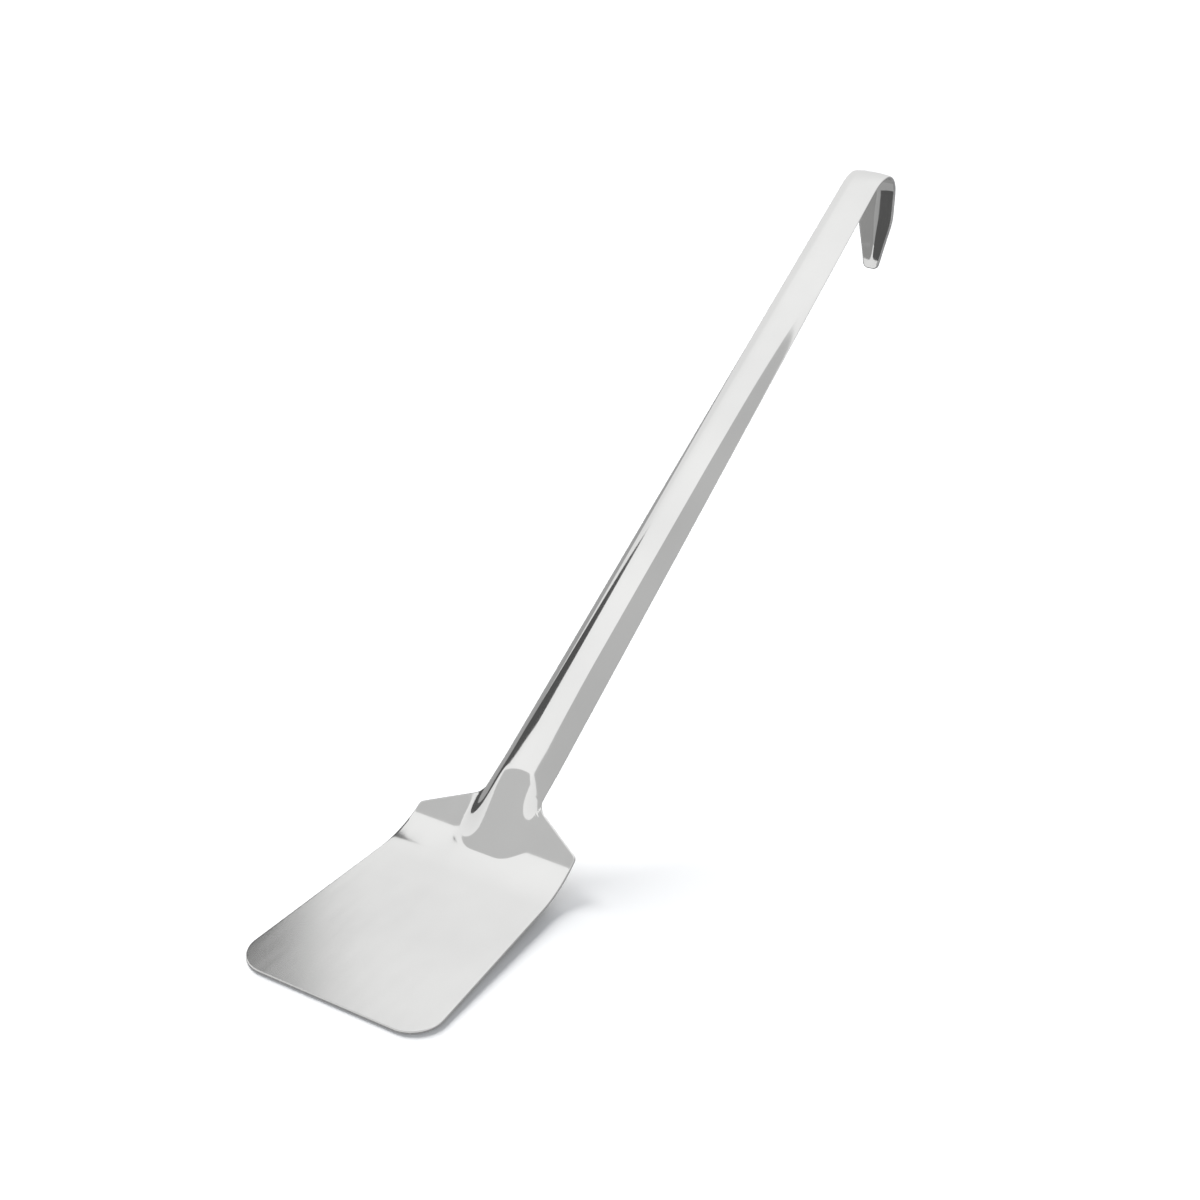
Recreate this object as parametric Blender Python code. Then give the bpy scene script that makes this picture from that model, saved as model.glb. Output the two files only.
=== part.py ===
"""Grill spatula: a one-piece turner, blanked and pressed from a single stainless-steel sheet.

The blank's outline is given along the sheet, as the distance from the blade's front edge and the half width there.
Pressing does two things to it: it bends the sheet along a path in the YZ plane, and it raises the middle of each
cross-section into a rib that becomes the channel handle. Each forming zone is one object: blade, shoulder, handle
and hook, with a fine cut between neighbours.

Frame: origin on the blade's underside, in the middle of its flat stretch. +Y runs from the blade towards the handle,
+X to the right and +Z up, away from the surface that the blade lies on. Lengths are in metres.
"""

from math import atan2, ceil, cos, hypot, pi, radians, sin, sqrt, tan

import bmesh
import bpy

# Driving dimensions
SHEET = 0.0015
ZONE_GAP = 0.0003

FRONT_HALF_WIDTH = 0.050
FRONT_CORNER_RADIUS = 0.0145
SHOULDER_DISTANCE = 0.125
SHOULDER_HALF_WIDTH = 0.04175
SHOULDER_CORNER_RADIUS = 0.003
NECK_DISTANCE = 0.140
NECK_HALF_WIDTH = 0.015
NECK_CORNER_RADIUS = 0.007
HOOK_HALF_WIDTH = 0.0099
TONGUE_HALF_WIDTH = 0.0101
TIP_HALF_WIDTH = 0.004
TIP_CORNER_RADIUS = 0.0036
TAPER_LENGTH = 0.027
EASY_CORNER_RADIUS = 0.060
TAPER_CORNER_RADIUS = 0.030

BLADE_FLAT = 0.095
UPTURN_RADIUS = 0.053
HANDLE_PITCH = radians(29.4)
HANDLE_STRAIGHT = 0.394
EASY_BEND_RADIUS = 0.026
EASY_BEND_TURN = radians(28.5)
HOOK_BEND_RADIUS = 0.0115
HOOK_BEND_TURN = radians(97.5)
TONGUE_LENGTH = 0.0415

RIB_START = 0.106
RIB_FULL = NECK_DISTANCE + 0.012
RIB_TOP = 0.006
RIB_SKIRT = 0.019
CHANNEL_START = NECK_DISTANCE - 0.020
CHANNEL_FULL = NECK_DISTANCE + 0.024
CROWN_NECK = 0.0103
CROWN_MIDDLE = 0.0067
CROWN_HOOK = 0.0023
CROWN_BEND = 0.0003
CROWN_TONGUE = 0.0018
CROWN_TIP = 0.0001
FLANK_NECK = radians(70)
FLANK_HOOK = radians(50)
FLANK_TIP = radians(35)
CREASE_PLACE = 0.47
CREASE_SOFTNESS = 0.055
CREASE_SHARE = 0.45
FOLD_SOFTNESS = 0.12
TIP_FLAT = 0.012

# Where the forming zones meet, as distances along the sheet
UPTURN_END = BLADE_FLAT + UPTURN_RADIUS * HANDLE_PITCH
HANDLE_START = CHANNEL_FULL
HOOK_START = UPTURN_END + HANDLE_STRAIGHT
TONGUE_START = HOOK_START + EASY_BEND_RADIUS * EASY_BEND_TURN + HOOK_BEND_RADIUS * HOOK_BEND_TURN
BEND_TOP = HOOK_START + EASY_BEND_RADIUS * EASY_BEND_TURN + HOOK_BEND_RADIUS * HOOK_BEND_TURN * 0.4
TIP_DISTANCE = TONGUE_START + TONGUE_LENGTH

# Each stretch of the path in the YZ plane: its length, and its curvature, which is positive where it turns up.
PATH = (
    (BLADE_FLAT, 0.0),
    (UPTURN_RADIUS * HANDLE_PITCH, 1 / UPTURN_RADIUS),
    (HANDLE_STRAIGHT, 0.0),
    (EASY_BEND_RADIUS * EASY_BEND_TURN, -1 / EASY_BEND_RADIUS),
    (HOOK_BEND_RADIUS * HOOK_BEND_TURN, -1 / HOOK_BEND_RADIUS),
    (TONGUE_LENGTH, 0.0),
)

# Each corner of the half outline: distance along the sheet, half width, corner radius.
OUTLINE_CORNERS = (
    (0.0, 0.0, 0.0),
    (0.0, FRONT_HALF_WIDTH, FRONT_CORNER_RADIUS),
    (SHOULDER_DISTANCE, SHOULDER_HALF_WIDTH, SHOULDER_CORNER_RADIUS),
    (NECK_DISTANCE, NECK_HALF_WIDTH, NECK_CORNER_RADIUS),
    (HOOK_START, HOOK_HALF_WIDTH, EASY_CORNER_RADIUS),
    (TIP_DISTANCE - TAPER_LENGTH, TONGUE_HALF_WIDTH, TAPER_CORNER_RADIUS),
    (TIP_DISTANCE, TIP_HALF_WIDTH, TIP_CORNER_RADIUS),
    (TIP_DISTANCE, 0.0, 0.0),
)

ARC_STEP = radians(12)
SAME_PLACE = 0.00001
SPREAD = radians(60)

STEEL_COLOUR = (0.80, 0.80, 0.79, 1.0)

# Each zone: its ends along the sheet, its longest step, its columns, its roughness.
ZONES = {
    "blade": (0.0, BLADE_FLAT, 0.032, 3, 0.35),
    "shoulder": (BLADE_FLAT, HANDLE_START, 0.003, 26, 0.22),
    "handle": (HANDLE_START, HOOK_START, 0.022, 16, 0.16),
    "hook": (HOOK_START, TIP_DISTANCE, 0.0022, 12, 0.16),
}


def clear_scene():
    for obj in list(bpy.data.objects):
        bpy.data.objects.remove(obj, do_unlink=True)


def blend(start, end, value):
    """0 before start and 1 after end, with a smooth rise between them."""
    share = min(max((value - start) / (end - start), 0.0), 1.0)
    return share * share * (3 - 2 * share)


def between(value, points):
    """The value read off straight lines through (place, value) points."""
    for (left, low), (right, high) in zip(points, points[1:]):
        if value <= right:
            share = max((value - left) / (right - left), 0.0)
            return low + share * (high - low)
    return points[-1][1]


def corner_arc(before, corner, after, radius):
    """Points on the arc that rounds a corner, from one straight side to the next."""
    sides = []
    for end in (before, after):
        length = hypot(end[0] - corner[0], end[1] - corner[1])
        sides.append(((end[0] - corner[0]) / length, (end[1] - corner[1]) / length))
    (ax, ay), (bx, by) = sides
    half_angle = atan2(hypot(ax - bx, ay - by), hypot(ax + bx, ay + by))
    middle = hypot(ax + bx, ay + by)
    reach = radius / sin(half_angle)
    centre = (corner[0] + (ax + bx) / middle * reach, corner[1] + (ay + by) / middle * reach)
    run = radius / tan(half_angle)
    start = atan2(corner[1] + ay * run - centre[1], corner[0] + ax * run - centre[0])
    end = atan2(corner[1] + by * run - centre[1], corner[0] + bx * run - centre[0])
    turn = (end - start + pi) % (2 * pi) - pi
    steps = max(2, ceil(abs(turn) / ARC_STEP))
    angles = [start + turn * step / steps for step in range(steps + 1)]
    return [(centre[0] + radius * cos(angle), centre[1] + radius * sin(angle)) for angle in angles]


def blank_outline():
    """(distance, half width) along the blank, with its corners rounded."""
    outline = []
    for before, corner, after in zip(OUTLINE_CORNERS, OUTLINE_CORNERS[1:], OUTLINE_CORNERS[2:]):
        outline += corner_arc(before, corner, after, corner[2])
    return outline


def path_point(distance):
    """(y, z, pitch) of the sheet's upper surface at its edges."""
    y = -BLADE_FLAT / 2
    z = SHEET
    pitch = 0.0
    for length, curvature in PATH:
        run = min(distance, length)
        turn = curvature * run
        if curvature:
            y += (sin(pitch + turn) - sin(pitch)) / curvature
            z -= (cos(pitch + turn) - cos(pitch)) / curvature
        else:
            y += run * cos(pitch)
            z += run * sin(pitch)
        pitch += turn
        distance -= run
    return y, z, pitch


def crown_height(distance):
    """How far the middle of the section stands above its edges."""
    middle = (NECK_DISTANCE + HOOK_START) / 2
    crowns = (
        (NECK_DISTANCE, CROWN_NECK),
        (middle, CROWN_MIDDLE),
        (HOOK_START, CROWN_HOOK),
        (BEND_TOP, CROWN_BEND),
        (TONGUE_START, CROWN_TONGUE),
        (TIP_DISTANCE - TIP_FLAT, CROWN_TONGUE),
        (TIP_DISTANCE, CROWN_TIP),
    )
    return blend(RIB_START, RIB_FULL, distance) * between(distance, crowns)


def crease_drop(across):
    """How far a section that is flat as far as its crease has dropped, as a share of its drop at the edge."""

    def knee(place):
        past = place - CREASE_PLACE
        return (hypot(past, CREASE_SOFTNESS) + past) / 2

    return (knee(across) - knee(0.0)) / (knee(1.0) - knee(0.0))


def section_height(distance, x, half_width):
    """Height of the section over its edges: a rib on the shoulder, then a creased channel, then a folded tongue."""
    channel_half = half_width
    if distance < CHANNEL_FULL:
        channel_half = min(NECK_HALF_WIDTH, half_width)
    across = min(abs(x) / channel_half, 1.0)
    flanks = ((NECK_DISTANCE, FLANK_NECK), (HOOK_START, FLANK_HOOK), (TIP_DISTANCE, FLANK_TIP))
    flank = between(distance, flanks)
    slope = across * sin(flank)
    arc_drop = (1 - sqrt(1 - slope * slope)) / (1 - cos(flank))
    channel = 1 - (1 - CREASE_SHARE) * arc_drop - CREASE_SHARE * crease_drop(across)
    fold = (hypot(across, FOLD_SOFTNESS) - FOLD_SOFTNESS) / (hypot(1.0, FOLD_SOFTNESS) - FOLD_SOFTNESS)
    folded = blend(BEND_TOP, TONGUE_START, distance)
    channel = (1 - folded) * channel + folded * (1 - fold)
    rib = 1 - blend(RIB_TOP, RIB_SKIRT, abs(x))
    share = blend(CHANNEL_START, CHANNEL_FULL, distance)
    return crown_height(distance) * ((1 - share) * rib + share * channel)


def stations(start, end, step, outline):
    """Distances at which a zone has a cross-section: even steps, and every point of the outline."""
    count = ceil((end - start) / step)
    places = [start + (end - start) * index / count for index in range(count + 1)]
    places += [place for place, _ in outline if start < place < end]
    kept = []
    for place in sorted(places):
        if not kept or place - kept[-1] > SAME_PLACE:
            kept.append(place)
    return kept


def steel(name, roughness):
    material = bpy.data.materials.new(name)
    material.use_nodes = True
    shader = material.node_tree.nodes["Principled BSDF"]
    shader.inputs["Base Color"].default_value = STEEL_COLOUR
    shader.inputs["Metallic"].default_value = 1.0
    shader.inputs["Roughness"].default_value = roughness
    return material


def add_zone(name, start, end, step, columns, roughness):
    """One forming zone: its upper surface as a grid, and the sheet's thickness below it."""
    outline = blank_outline()
    start += ZONE_GAP / 2 if start > 0 else 0.0
    end -= ZONE_GAP / 2 if end < TIP_DISTANCE else 0.0
    mesh = bmesh.new()
    rows = []
    for distance in stations(start, end, step, outline):
        half_width = between(distance, outline)
        y, z, pitch = path_point(distance)
        row = []
        for column in range(columns + 1):
            side = 2 * column / columns - 1
            x = half_width * sin(side * SPREAD) / sin(SPREAD)
            height = section_height(distance, x, half_width)
            row.append(mesh.verts.new((x, y - height * sin(pitch), z + height * cos(pitch))))
        rows.append(row)
    for near, far in zip(rows, rows[1:]):
        for left in range(columns):
            mesh.faces.new((near[left], near[left + 1], far[left + 1], far[left]))
    data = bpy.data.meshes.new(name)
    mesh.to_mesh(data)
    mesh.free()
    data.shade_smooth()
    zone = bpy.data.objects.new(name, data)
    bpy.context.scene.collection.objects.link(zone)
    thickness = zone.modifiers.new("Sheet", "SOLIDIFY")
    thickness.thickness = SHEET
    thickness.offset = -1
    data.materials.append(steel(name, roughness))
    return zone


clear_scene()
for zone_name, (zone_start, zone_end, longest_step, column_count, zone_roughness) in ZONES.items():
    add_zone(zone_name, zone_start, zone_end, longest_step, column_count, zone_roughness)
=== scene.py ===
"""Grill spatula, the looks: one skin of polished stainless sheet over the four CAD zones, on a pale floor.

The real turner is a single pressing, so one mesh stands for all four nodes. It is worked out from the
same design values as the CAD model, on a much finer grid and with softly rounded cut edges.
"""

from math import atan2, ceil, cos, hypot, pi, radians, sin, tan

import bmesh
import bpy
import numpy as np
from mathutils import Matrix, Vector


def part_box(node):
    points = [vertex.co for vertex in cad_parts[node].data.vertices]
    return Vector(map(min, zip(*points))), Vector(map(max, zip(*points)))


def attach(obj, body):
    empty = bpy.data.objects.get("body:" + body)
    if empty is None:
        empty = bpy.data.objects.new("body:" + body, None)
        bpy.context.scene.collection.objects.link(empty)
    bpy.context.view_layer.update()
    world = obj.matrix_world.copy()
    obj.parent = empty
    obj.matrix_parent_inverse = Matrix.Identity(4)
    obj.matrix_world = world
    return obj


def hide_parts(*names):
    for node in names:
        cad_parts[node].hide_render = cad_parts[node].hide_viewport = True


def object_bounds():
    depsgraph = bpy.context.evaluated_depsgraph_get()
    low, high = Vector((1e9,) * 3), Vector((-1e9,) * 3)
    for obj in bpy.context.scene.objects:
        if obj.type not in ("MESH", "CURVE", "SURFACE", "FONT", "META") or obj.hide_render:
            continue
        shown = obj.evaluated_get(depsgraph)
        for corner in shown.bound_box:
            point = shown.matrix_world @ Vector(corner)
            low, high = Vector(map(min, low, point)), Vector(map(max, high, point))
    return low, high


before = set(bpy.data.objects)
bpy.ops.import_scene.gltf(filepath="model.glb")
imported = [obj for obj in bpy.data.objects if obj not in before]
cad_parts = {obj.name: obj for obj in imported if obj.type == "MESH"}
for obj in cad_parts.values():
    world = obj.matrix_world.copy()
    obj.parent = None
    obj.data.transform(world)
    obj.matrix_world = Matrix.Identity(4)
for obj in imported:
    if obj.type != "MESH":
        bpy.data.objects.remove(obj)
cad_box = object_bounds()

# The sheet's design values, in metres, as in the CAD model.
SHEET = 0.0015
FRONT_HALF_WIDTH = 0.050
FRONT_CORNER_RADIUS = 0.0145
SHOULDER_DISTANCE = 0.125
SHOULDER_HALF_WIDTH = 0.04175
SHOULDER_CORNER_RADIUS = 0.003
NECK_DISTANCE = 0.140
NECK_HALF_WIDTH = 0.015
NECK_CORNER_RADIUS = 0.007
HOOK_HALF_WIDTH = 0.0099
TONGUE_HALF_WIDTH = 0.0101
TIP_HALF_WIDTH = 0.004
TIP_CORNER_RADIUS = 0.0036
TAPER_LENGTH = 0.027
EASY_CORNER_RADIUS = 0.060
TAPER_CORNER_RADIUS = 0.030

BLADE_FLAT = 0.095
UPTURN_RADIUS = 0.053
HANDLE_PITCH = radians(29.4)
HANDLE_STRAIGHT = 0.394
EASY_BEND_RADIUS = 0.026
EASY_BEND_TURN = radians(28.5)
HOOK_BEND_RADIUS = 0.0115
HOOK_BEND_TURN = radians(97.5)
TONGUE_LENGTH = 0.0415

RIB_START = 0.106
RIB_FULL = NECK_DISTANCE + 0.012
RIB_TOP = 0.006
RIB_SKIRT = 0.019
CHANNEL_START = NECK_DISTANCE - 0.020
CHANNEL_FULL = NECK_DISTANCE + 0.024
CROWN_NECK = 0.0103
CROWN_MIDDLE = 0.0067
CROWN_HOOK = 0.0023
CROWN_BEND = 0.0003
CROWN_TONGUE = 0.0018
CROWN_TIP = 0.0001
FLANK_NECK = radians(70)
FLANK_HOOK = radians(50)
FLANK_TIP = radians(35)
CREASE_PLACE = 0.47
CREASE_SOFTNESS = 0.055
CREASE_SHARE = 0.45
FOLD_SOFTNESS = 0.12
TIP_FLAT = 0.012
BEND_TOP_SHARE = 0.4

UPTURN_END = BLADE_FLAT + UPTURN_RADIUS * HANDLE_PITCH
HOOK_START = UPTURN_END + HANDLE_STRAIGHT
HOOK_BEND_START = HOOK_START + EASY_BEND_RADIUS * EASY_BEND_TURN
TONGUE_START = HOOK_BEND_START + HOOK_BEND_RADIUS * HOOK_BEND_TURN
BEND_TOP = HOOK_BEND_START + HOOK_BEND_RADIUS * HOOK_BEND_TURN * BEND_TOP_SHARE
TIP_DISTANCE = TONGUE_START + TONGUE_LENGTH

# Each stretch of the path in the YZ plane: its length, and its curvature, positive where it turns up.
PATH = (
    (BLADE_FLAT, 0.0),
    (UPTURN_RADIUS * HANDLE_PITCH, 1 / UPTURN_RADIUS),
    (HANDLE_STRAIGHT, 0.0),
    (EASY_BEND_RADIUS * EASY_BEND_TURN, -1 / EASY_BEND_RADIUS),
    (HOOK_BEND_RADIUS * HOOK_BEND_TURN, -1 / HOOK_BEND_RADIUS),
    (TONGUE_LENGTH, 0.0),
)

# Each corner of the half outline: distance along the sheet, half width, corner radius.
OUTLINE_CORNERS = (
    (0.0, 0.0, 0.0),
    (0.0, FRONT_HALF_WIDTH, FRONT_CORNER_RADIUS),
    (SHOULDER_DISTANCE, SHOULDER_HALF_WIDTH, SHOULDER_CORNER_RADIUS),
    (NECK_DISTANCE, NECK_HALF_WIDTH, NECK_CORNER_RADIUS),
    (HOOK_START, HOOK_HALF_WIDTH, EASY_CORNER_RADIUS),
    (TIP_DISTANCE - TAPER_LENGTH, TONGUE_HALF_WIDTH, TAPER_CORNER_RADIUS),
    (TIP_DISTANCE, TIP_HALF_WIDTH, TIP_CORNER_RADIUS),
    (TIP_DISTANCE, 0.0, 0.0),
)

# The skin's own values: how its cut edges are broken, and how fine its grid is along the sheet and across it.
EDGE_RADIUS = 0.0005
EDGE_ANGLES = (radians(22.5), radians(45), radians(67.5), radians(90))
ARC_STEP = radians(5)
COLUMNS = 84
SPREAD = radians(60)
SAME_PLACE = 0.00005
STEPS = (
    (BLADE_FLAT, 0.005),
    (CHANNEL_FULL + 0.010, 0.0008),
    (HOOK_START, 0.003),
    (TONGUE_START, 0.0007),
    (TIP_DISTANCE, 0.001),
)
PROBE = 0.00002

# The steel's finish: where the satin blade turns into the polished handle, and how rough each one is.
POLISH_START = 0.030
POLISH_END = 0.058
SATIN_ROUGHNESS = (0.22, 0.27)
POLISHED_ROUGHNESS = (0.055, 0.095)
CUT_ROUGHNESS = (0.18, 0.30)
NOISE_LOW = 0.30
NOISE_HIGH = 0.70
STEEL_DARK = (0.765, 0.765, 0.76, 1.0)
STEEL_LIGHT = (0.82, 0.82, 0.812, 1.0)
CUT_DARK = (0.55, 0.55, 0.56, 1.0)
CUT_LIGHT = (0.72, 0.72, 0.72, 1.0)
LINE_DEPTH = 0.000002
WAVE_DEPTH = 0.00004
SHEAR_DEPTH = 0.00003
BUMP_STRENGTH = 0.5
FLOOR_COLOUR = (0.9, 0.9, 0.9, 1.0)

# The camera, at the photograph's viewing angle.
CAMERA_AZIMUTH = radians(32.88)
CAMERA_ELEVATION = radians(29.89)
CAMERA_DISTANCE = 1.0012
CAMERA_TARGET = Vector((0.0012, 0.1625, 0.0840))
CAMERA_ROLL = radians(-1.2)
LENS = 66.0
SENSOR = 36.0

# The blade stands on its front edge, its rear a little off the floor.
FLOOR_TILT = radians(1.9)
FLOOR_RADIUS = 6.0

# The light: a white room, brighter overhead, and a broad key light from the left and behind.
WHITE_ROOM_COLOUR = (0.93, 0.96, 1.0, 1.0)
DOME_HEIGHTS = (0.0, 0.35, 0.60, 0.85)
DOME_LEVELS = (0.85, 0.90, 0.95, 1.03)
FILL = 0.45
KEY_DIRECTION = Vector((-1.3, 0.8, 0.62))
KEY_ANGLE = radians(38)
KEY_STRENGTH = 7.4

# Plain cards around the object's box, which only the steel's reflections see.
TABLE_DROP = 0.02
TABLE_REACH = 1.5
TABLE_GLOW = 0.40
CARD_DISTANCE = 0.25
LEFT_CARD_RISE = 0.40
LEFT_CARD_GLOW = 0.10
RIGHT_CARD_RISE = 0.70
RIGHT_CARD_GLOW = 0.55
OVERHEAD_CARD_HEIGHT = 0.30
OVERHEAD_CARD_GLOW = 0.60


def blend(start, end, value):
    """0 before start and 1 after end, with a smooth rise between them."""
    share = np.clip((value - start) / (end - start), 0.0, 1.0)
    return share * share * (3 - 2 * share)


def corner_arc(before, corner, after, radius):
    """Points on the arc that rounds a corner, from one straight side to the next."""
    sides = []
    for end in (before, after):
        length = hypot(end[0] - corner[0], end[1] - corner[1])
        sides.append(((end[0] - corner[0]) / length, (end[1] - corner[1]) / length))
    (ax, ay), (bx, by) = sides
    half_angle = atan2(hypot(ax - bx, ay - by), hypot(ax + bx, ay + by))
    middle = hypot(ax + bx, ay + by)
    reach = radius / sin(half_angle)
    centre = (corner[0] + (ax + bx) / middle * reach, corner[1] + (ay + by) / middle * reach)
    run = radius / tan(half_angle)
    start = atan2(corner[1] + ay * run - centre[1], corner[0] + ax * run - centre[0])
    end = atan2(corner[1] + by * run - centre[1], corner[0] + bx * run - centre[0])
    turn = (end - start + pi) % (2 * pi) - pi
    steps = max(2, ceil(abs(turn) / ARC_STEP))
    angles = [start + turn * step / steps for step in range(steps + 1)]
    return [(centre[0] + radius * cos(angle), centre[1] + radius * sin(angle)) for angle in angles]


def blank_outline():
    """(distance, half width) along the blank, with its corners rounded."""
    outline = []
    for before, corner, after in zip(OUTLINE_CORNERS, OUTLINE_CORNERS[1:], OUTLINE_CORNERS[2:]):
        outline += corner_arc(before, corner, after, corner[2])
    return np.array(outline)


def outward_normals(outline):
    """Unit normals of the half outline, pointing off the blank.

    The outline's two ends lie on the straight front and tip edges.
    """
    along = np.gradient(outline, axis=0)
    along[0] = (0.0, 1.0)
    along[-1] = (0.0, -1.0)
    normals = np.stack([-along[:, 1], along[:, 0]], axis=1)
    return normals / np.linalg.norm(normals, axis=1, keepdims=True)


def path_points(distance):
    """(y, z, pitch) of the sheet's upper surface at its edges."""
    y = np.full_like(distance, -BLADE_FLAT / 2)
    z = np.full_like(distance, SHEET)
    pitch = np.zeros_like(distance)
    start = 0.0
    heading = 0.0
    for length, curvature in PATH:
        run = np.clip(distance - start, 0.0, length)
        if curvature:
            y += (np.sin(heading + curvature * run) - sin(heading)) / curvature
            z -= (np.cos(heading + curvature * run) - cos(heading)) / curvature
        else:
            y += run * cos(heading)
            z += run * sin(heading)
        pitch += curvature * run
        heading += curvature * length
        start += length
    return y, z, pitch


def crown_height(distance):
    """How far the middle of the section stands above its edges."""
    places = (
        NECK_DISTANCE,
        (NECK_DISTANCE + HOOK_START) / 2,
        HOOK_START,
        BEND_TOP,
        TONGUE_START,
        TIP_DISTANCE - TIP_FLAT,
        TIP_DISTANCE,
    )
    crowns = (CROWN_NECK, CROWN_MIDDLE, CROWN_HOOK, CROWN_BEND, CROWN_TONGUE, CROWN_TONGUE, CROWN_TIP)
    return blend(RIB_START, RIB_FULL, distance) * np.interp(distance, places, crowns)


def crease_drop(across):
    """How far a section that is flat as far as its crease has dropped, as a share of its drop at the edge."""

    def knee(place):
        past = place - CREASE_PLACE
        return (np.sqrt(past * past + CREASE_SOFTNESS * CREASE_SOFTNESS) + past) / 2

    return (knee(across) - knee(0.0)) / (knee(1.0) - knee(0.0))


def section_height(distance, x, half_width):
    """Height of the section over its edges: a rib, then an arched channel, then a folded tongue."""
    near_neck = np.minimum(NECK_HALF_WIDTH, half_width)
    channel_half = np.where(distance < CHANNEL_FULL, near_neck, half_width)
    places = (NECK_DISTANCE, HOOK_START, TIP_DISTANCE)
    flank = np.interp(distance, places, (FLANK_NECK, FLANK_HOOK, FLANK_TIP))
    across = np.minimum(np.abs(x) / channel_half, 1.0)
    arc_drop = (1 - np.sqrt(1 - (across * np.sin(flank)) ** 2)) / (1 - np.cos(flank))
    channel = 1 - (1 - CREASE_SHARE) * arc_drop - CREASE_SHARE * crease_drop(across)
    fold = (np.hypot(across, FOLD_SOFTNESS) - FOLD_SOFTNESS) / (hypot(1.0, FOLD_SOFTNESS) - FOLD_SOFTNESS)
    folded = blend(BEND_TOP, TONGUE_START, distance)
    channel = (1 - folded) * channel + folded * (1 - fold)
    rib = 1 - blend(RIB_TOP, RIB_SKIRT, np.abs(x))
    share = blend(CHANNEL_START, CHANNEL_FULL, distance)
    return crown_height(distance) * ((1 - share) * rib + share * channel)


def surface(distance, x, outline):
    """Points of the sheet's upper surface."""
    half_width = np.interp(distance, outline[:, 0], outline[:, 1])
    height = section_height(distance, x, half_width)
    y, z, pitch = path_points(distance)
    return np.stack([x, y - height * np.sin(pitch), z + height * np.cos(pitch)], axis=-1)


def unit(vectors):
    return vectors / np.linalg.norm(vectors, axis=-1, keepdims=True)


def stations(inset):
    """Distances at which the skin has a row: the outline's own points, and even steps between them."""
    places = list(inset[:, 0])
    start = inset[0, 0]
    for end, step in STEPS:
        end = min(end, inset[-1, 0])
        count = ceil((end - start) / step)
        places += [start + (end - start) * index / count for index in range(count + 1)]
        start = end
    kept = []
    for place in sorted(places):
        if not kept or place - kept[-1] > SAME_PLACE:
            kept.append(place)
    return np.array(kept)


def sheet_skin():
    """The whole sheet as one closed mesh: upper grid, lower grid, and a rounded rim between them."""
    outline = blank_outline()
    normals = outward_normals(outline)
    inset = outline - normals * EDGE_RADIUS
    rows = stations(inset)
    half_widths = np.interp(rows, inset[:, 0], inset[:, 1])
    side = np.linspace(-1, 1, COLUMNS + 1)
    spread = np.sin(side * SPREAD) / sin(SPREAD)
    distance = np.repeat(rows[:, None], COLUMNS + 1, axis=1)
    x = half_widths[:, None] * spread[None, :]

    upper = surface(distance, x, outline)
    along = surface(distance + PROBE, x, outline) - surface(distance - PROBE, x, outline)
    across = surface(distance, x + PROBE, outline) - surface(distance, x - PROBE, outline)
    along = unit(along)
    across = unit(across)
    up = unit(np.cross(across, along))
    lower = upper - up * SHEET

    last_row, last_column = len(rows) - 1, COLUMNS
    loop = [(0, column) for column in range(last_column)]
    loop += [(row, last_column) for row in range(last_row)]
    loop += [(last_row, column) for column in range(last_column, 0, -1)]
    loop += [(row, 0) for row in range(last_row, 0, -1)]
    loop_rows = np.array([row for row, _ in loop])
    loop_columns = np.array([column for _, column in loop])

    leaving = np.stack([np.interp(rows, inset[:, 0], normals[:, axis]) for axis in (0, 1)], axis=1)
    leaving = leaving[loop_rows]
    on_front = (loop_rows == 0) & (loop_columns < last_column) & (loop_columns > 0)
    on_tip = (loop_rows == last_row) & (loop_columns < last_column) & (loop_columns > 0)
    leaving[on_front] = (-1.0, 0.0)
    leaving[on_tip] = (1.0, 0.0)
    mirrored = np.where(loop_columns == 0, -1.0, 1.0)
    edge_along = along[loop_rows, loop_columns]
    edge_across = across[loop_rows, loop_columns]
    out = unit(edge_along * leaving[:, :1] + edge_across * (leaving[:, 1] * mirrored)[:, None])
    edge_up = up[loop_rows, loop_columns]
    edge = upper[loop_rows, loop_columns]

    rings = []
    for angle in EDGE_ANGLES:
        rings.append(edge + out * EDGE_RADIUS * sin(angle) - edge_up * EDGE_RADIUS * (1 - cos(angle)))
    for angle in reversed(EDGE_ANGLES):
        depth = SHEET - EDGE_RADIUS * (1 - cos(angle))
        rings.append(edge + out * EDGE_RADIUS * sin(angle) - edge_up * depth)

    grid = (last_row + 1) * (last_column + 1)
    size = len(loop)
    points = np.concatenate([upper.reshape(-1, 3), lower.reshape(-1, 3)] + rings)

    def corner(row, column):
        return row * (last_column + 1) + column

    faces = []
    cut = []
    for row in range(last_row):
        for column in range(last_column):
            quad = (
                corner(row, column),
                corner(row, column + 1),
                corner(row + 1, column + 1),
                corner(row + 1, column),
            )
            faces.append(quad)
            faces.append(tuple(grid + index for index in reversed(quad)))
            cut += [0, 0]
    belts = [[corner(row, column) for row, column in loop]]
    belts += [[2 * grid + ring * size + index for index in range(size)] for ring in range(len(rings))]
    belts += [[grid + corner(row, column) for row, column in loop]]
    for level, (over, under) in enumerate(zip(belts, belts[1:])):
        for index in range(size):
            following = (index + 1) % size
            faces.append((over[following], over[index], under[index], under[following]))
            cut.append(1 if level >= len(EDGE_ANGLES) else 0)

    mesh = bpy.data.meshes.new("turner_sheet")
    mesh.from_pydata(points.tolist(), [], faces)
    mesh.polygons.foreach_set("material_index", cut)
    mesh.shade_smooth()
    mesh.update()
    skin = bpy.data.objects.new("turner_sheet", mesh)
    bpy.context.scene.collection.objects.link(skin)
    weighted = skin.modifiers.new("Even shading", "WEIGHTED_NORMAL")
    weighted.weight = 100
    return skin


def new_material(name):
    material = bpy.data.materials.new(name)
    material.use_nodes = True
    tree = material.node_tree
    return material, tree, tree.nodes["Principled BSDF"]


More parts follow.
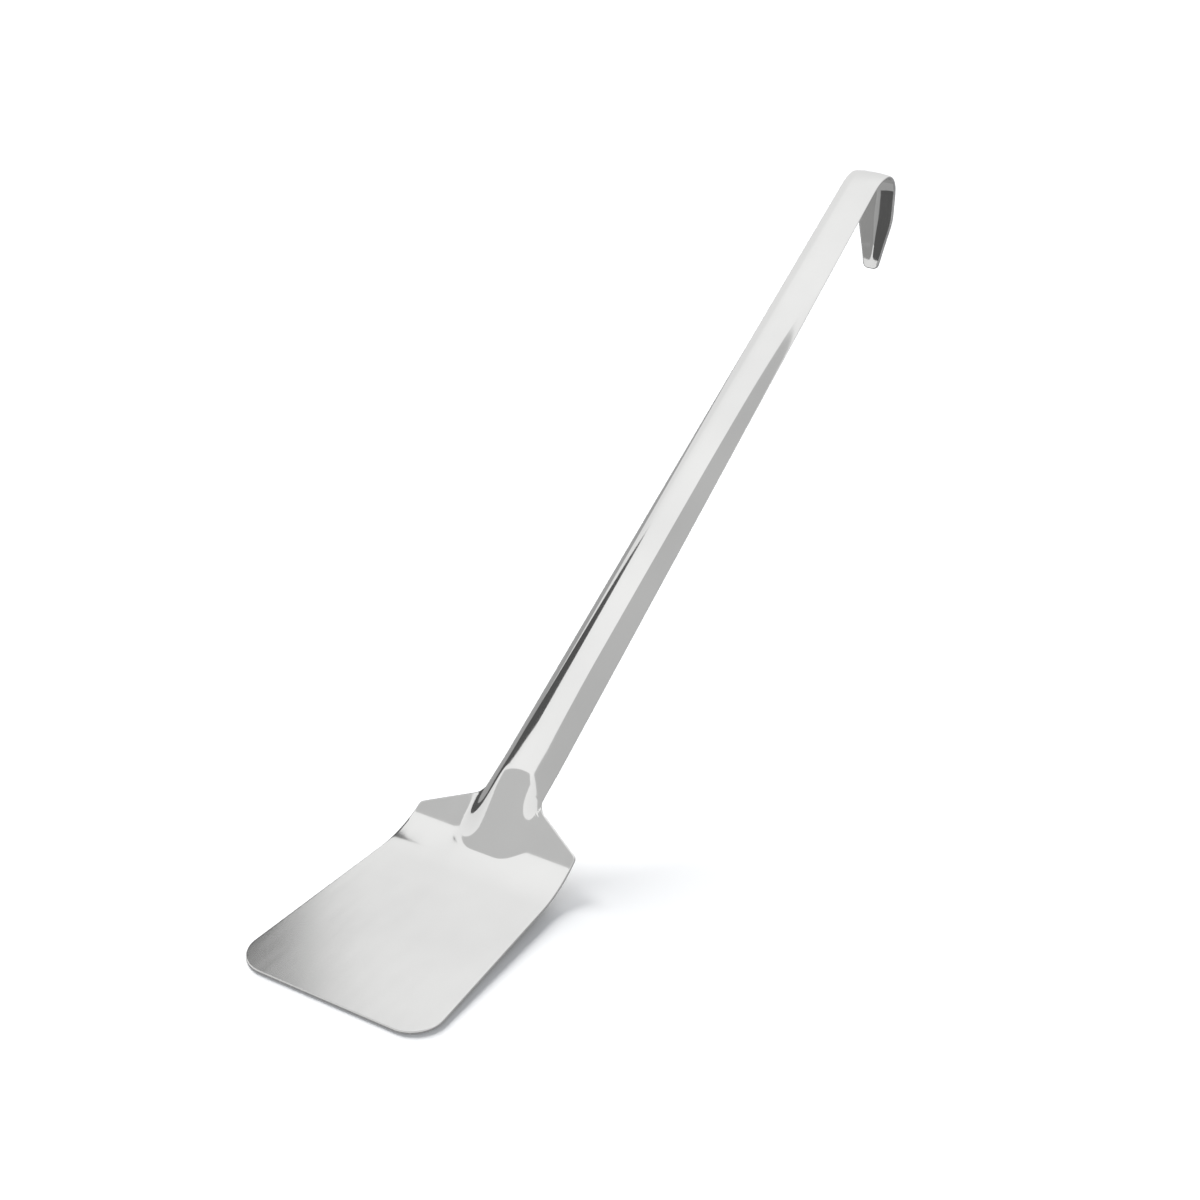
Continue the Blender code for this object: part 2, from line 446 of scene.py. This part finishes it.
def mapped_coordinates(tree, scale):
    """Object coordinates, stretched by a different scale along each axis."""
    place = tree.nodes.new("ShaderNodeTexCoord")
    mapping = tree.nodes.new("ShaderNodeMapping")
    mapping.inputs["Scale"].default_value = scale
    tree.links.new(place.outputs["Object"], mapping.inputs["Vector"])
    return mapping.outputs["Vector"]


def noise(tree, scale, detail):
    """A noise texture over the object, stretched by scale."""
    texture = tree.nodes.new("ShaderNodeTexNoise")
    texture.inputs["Scale"].default_value = 1.0
    texture.inputs["Detail"].default_value = detail
    tree.links.new(mapped_coordinates(tree, scale), texture.inputs["Vector"])
    return texture.outputs["Fac"]


def ramp(tree, source, low, high, start, end):
    """Turns the source's low to high into start to end."""
    node = tree.nodes.new("ShaderNodeMapRange")
    node.inputs["From Min"].default_value = low
    node.inputs["From Max"].default_value = high
    node.inputs["To Min"].default_value = start
    node.inputs["To Max"].default_value = end
    tree.links.new(source, node.inputs["Value"])
    return node.outputs["Result"]


def tone_ramp(tree, source, dark, light):
    """A colour that runs from dark to light as the source goes from low to high."""
    tone = tree.nodes.new("ShaderNodeValToRGB")
    tone.color_ramp.elements[0].position = NOISE_LOW
    tone.color_ramp.elements[0].color = dark
    tone.color_ramp.elements[1].position = NOISE_HIGH
    tone.color_ramp.elements[1].color = light
    tree.links.new(source, tone.inputs["Fac"])
    return tone.outputs["Color"]


def mix(tree, share, first, second):
    """A blend of two values, by a third."""
    node = tree.nodes.new("ShaderNodeMix")
    node.data_type = "FLOAT"
    tree.links.new(share, node.inputs[0])
    tree.links.new(first, node.inputs[2])
    tree.links.new(second, node.inputs[3])
    return node.outputs[0]


def bump(tree, height, distance, below=None):
    """A bump node over an earlier one."""
    node = tree.nodes.new("ShaderNodeBump")
    node.inputs["Strength"].default_value = BUMP_STRENGTH
    node.inputs["Distance"].default_value = distance
    tree.links.new(height, node.inputs["Height"])
    if below is not None:
        tree.links.new(below, node.inputs["Normal"])
    return node.outputs["Normal"]


def polished_steel():
    """Bright rolled steel: satin on the blade, polished with faint lengthwise lines on the handle."""
    material, tree, shader = new_material("polished_steel")
    shader.inputs["Metallic"].default_value = 1.0
    place = tree.nodes.new("ShaderNodeTexCoord")
    axes = tree.nodes.new("ShaderNodeSeparateXYZ")
    tree.links.new(place.outputs["Object"], axes.inputs["Vector"])
    past_blade = ramp(tree, axes.outputs["Y"], POLISH_START, POLISH_END, 0.0, 1.0)

    clouds = noise(tree, (18.0, 18.0, 18.0), 5.0)
    wipes = noise(tree, (160.0, 28.0, 28.0), 4.0)
    lines = noise(tree, (1600.0, 7.0, 7.0), 2.0)
    waves = noise(tree, (60.0, 9.0, 9.0), 1.0)

    tree.links.new(tone_ramp(tree, clouds, STEEL_DARK, STEEL_LIGHT), shader.inputs["Base Color"])
    satin = ramp(tree, wipes, NOISE_LOW, NOISE_HIGH, *SATIN_ROUGHNESS)
    polished = ramp(tree, wipes, NOISE_LOW, NOISE_HIGH, *POLISHED_ROUGHNESS)
    tree.links.new(mix(tree, past_blade, satin, polished), shader.inputs["Roughness"])
    fine = bump(tree, lines, LINE_DEPTH)
    tree.links.new(bump(tree, waves, WAVE_DEPTH, fine), shader.inputs["Normal"])
    return material


def cut_edge_steel():
    """The sheared edge: darker and duller, with the marks of the punch running across it."""
    material, tree, shader = new_material("cut_edge_steel")
    shader.inputs["Metallic"].default_value = 1.0
    shear = noise(tree, (900.0, 900.0, 120.0), 3.0)
    tree.links.new(tone_ramp(tree, shear, CUT_DARK, CUT_LIGHT), shader.inputs["Base Color"])
    rough = ramp(tree, shear, NOISE_LOW, NOISE_HIGH, *CUT_ROUGHNESS)
    tree.links.new(rough, shader.inputs["Roughness"])
    tree.links.new(bump(tree, shear, SHEAR_DEPTH), shader.inputs["Normal"])
    return material


def add_sheet_object(name, points, faces, material):
    """A stage object: part of the studio, not of the turner."""
    mesh = bpy.data.meshes.new(name)
    mesh.from_pydata([tuple(point) for point in points], [], faces)
    sheet = bpy.data.objects.new(name, mesh)
    bpy.context.scene.collection.objects.link(sheet)
    mesh.materials.append(material)
    return sheet


def add_floor():
    material, _, shader = new_material("floor_paper")
    shader.inputs["Base Color"].default_value = FLOOR_COLOUR
    shader.inputs["Roughness"].default_value = 1.0
    shader.inputs["Specular IOR Level"].default_value = 0.0
    turns = [radians(turn) for turn in range(0, 360, 5)]
    corners = [(FLOOR_RADIUS * cos(turn), FLOOR_RADIUS * sin(turn), 0.0) for turn in turns]
    floor = add_sheet_object("floor", corners, [tuple(range(len(corners)))], material)
    front_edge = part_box("blade")[0]
    floor.location = (0.0, front_edge.y, front_edge.z)
    floor.rotation_euler = (-FLOOR_TILT, 0.0, 0.0)
    floor.visible_glossy = False


def glow_material(name):
    """A material that shines with the brightness stored at each corner of its mesh."""
    material = bpy.data.materials.new(name)
    material.use_nodes = True
    nodes, links = material.node_tree.nodes, material.node_tree.links
    nodes.clear()
    attribute = nodes.new("ShaderNodeAttribute")
    attribute.attribute_name = "glow"
    emission = nodes.new("ShaderNodeEmission")
    output = nodes.new("ShaderNodeOutputMaterial")
    links.new(attribute.outputs["Color"], emission.inputs["Color"])
    links.new(emission.outputs["Emission"], output.inputs["Surface"])
    return material


def set_glow(sheet, levels):
    values = sheet.data.color_attributes.new("glow", "FLOAT_COLOR", "POINT")
    for index, level in enumerate(levels):
        values.data[index].color = (level, level, level, 1.0)
    sheet.visible_diffuse = False
    sheet.visible_shadow = False


def add_card(name, corners, glow):
    """A plain rectangle of one brightness, which only the steel's reflections see."""
    card = add_sheet_object(name, corners, [tuple(range(len(corners)))], glow_material(name))
    set_glow(card, [glow] * len(corners))
    card.visible_camera = False


def level_card(name, height, across, along, glow):
    """A rectangle that lies level, from across[0] to across[1] in X and from along[0] to along[1] in Y."""
    corners = [
        (across[0], along[0], height),
        (across[1], along[0], height),
        (across[1], along[1], height),
        (across[0], along[1], height),
    ]
    add_card(name, corners, glow)


def upright_card(name, place, along, rise, glow):
    """A rectangle that stands beside the turner at X = place."""
    corners = [
        (place, along[0], rise[0]),
        (place, along[1], rise[0]),
        (place, along[1], rise[1]),
        (place, along[0], rise[1]),
    ]
    add_card(name, corners, glow)


def add_dome():
    """The white room: a dome that the camera and the steel see, a little darker towards the horizon."""
    mesh = bpy.data.meshes.new("dome")
    builder = bmesh.new()
    bmesh.ops.create_uvsphere(builder, u_segments=48, v_segments=36, radius=FLOOR_RADIUS)
    builder.to_mesh(mesh)
    builder.free()
    points = [tuple(vertex.co) for vertex in mesh.vertices]
    faces = [tuple(face.vertices) for face in mesh.polygons]
    dome = add_sheet_object("dome", points, faces, glow_material("dome"))
    dome.data.shade_smooth()
    levels = [float(np.interp(point[2] / FLOOR_RADIUS, DOME_HEIGHTS, DOME_LEVELS)) for point in points]
    set_glow(dome, levels)


def add_studio_cards():
    """A grey table top, a black card left of the lower handle, and grey ones on its right and overhead."""
    low, high = (Vector(corner) for corner in cad_box)
    handle_start, handle_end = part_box("handle")
    blade_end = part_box("blade")[1]
    handle_middle = (handle_start.y + handle_end.y) / 2
    table = (-TABLE_REACH, TABLE_REACH)
    lower_half = (handle_start.y, handle_middle)
    whole_handle = (handle_start.y, handle_end.y)
    level_card("table_top", low.z - TABLE_DROP, table, table, TABLE_GLOW)
    left_rise = (low.z, low.z + LEFT_CARD_RISE)
    right_rise = (low.z, low.z + RIGHT_CARD_RISE)
    above_blade = (low.x - CARD_DISTANCE, high.x + CARD_DISTANCE)
    upright_card("left_card", above_blade[0], lower_half, left_rise, LEFT_CARD_GLOW)
    upright_card("right_card", above_blade[1], whole_handle, right_rise, RIGHT_CARD_GLOW)
    along_blade = (low.y - CARD_DISTANCE, blade_end.y)
    level_card("overhead_card", OVERHEAD_CARD_HEIGHT, above_blade, along_blade, OVERHEAD_CARD_GLOW)


def add_world():
    world = bpy.data.worlds.new("studio")
    bpy.context.scene.world = world
    world.use_nodes = True
    background = world.node_tree.nodes["Background"]
    background.inputs["Color"].default_value = WHITE_ROOM_COLOUR
    background.inputs["Strength"].default_value = FILL


def add_key_light():
    """A broad soft light from behind and to the left, which the steel doesn't reflect."""
    data = bpy.data.lights.new("key", "SUN")
    data.angle = KEY_ANGLE
    data.energy = KEY_STRENGTH
    light = bpy.data.objects.new("key", data)
    bpy.context.scene.collection.objects.link(light)
    light.rotation_euler = KEY_DIRECTION.to_track_quat("Z", "Y").to_euler()
    light.visible_glossy = False


def add_camera():
    data = bpy.data.cameras.new("camera")
    data.lens = LENS
    data.sensor_width = SENSOR
    camera = bpy.data.objects.new("camera", data)
    bpy.context.scene.collection.objects.link(camera)
    level = cos(CAMERA_ELEVATION)
    back = Vector((sin(CAMERA_AZIMUTH) * level, -cos(CAMERA_AZIMUTH) * level, sin(CAMERA_ELEVATION)))
    turn = back.to_track_quat("Z", "Y").to_matrix().to_4x4()
    place = Matrix.Translation(CAMERA_TARGET + back * CAMERA_DISTANCE)
    roll = Matrix.Rotation(CAMERA_ROLL, 4, "Z")
    camera.matrix_world = place @ turn @ roll
    bpy.context.scene.camera = camera


add_camera()
skin = sheet_skin()
skin.data.materials.append(polished_steel())
skin.data.materials.append(cut_edge_steel())
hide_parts("blade", "shoulder", "handle", "hook")
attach(skin, "root")
add_floor()
add_dome()
add_studio_cards()
add_key_light()
add_world()
bpy.context.scene.view_settings.view_transform = "Standard"
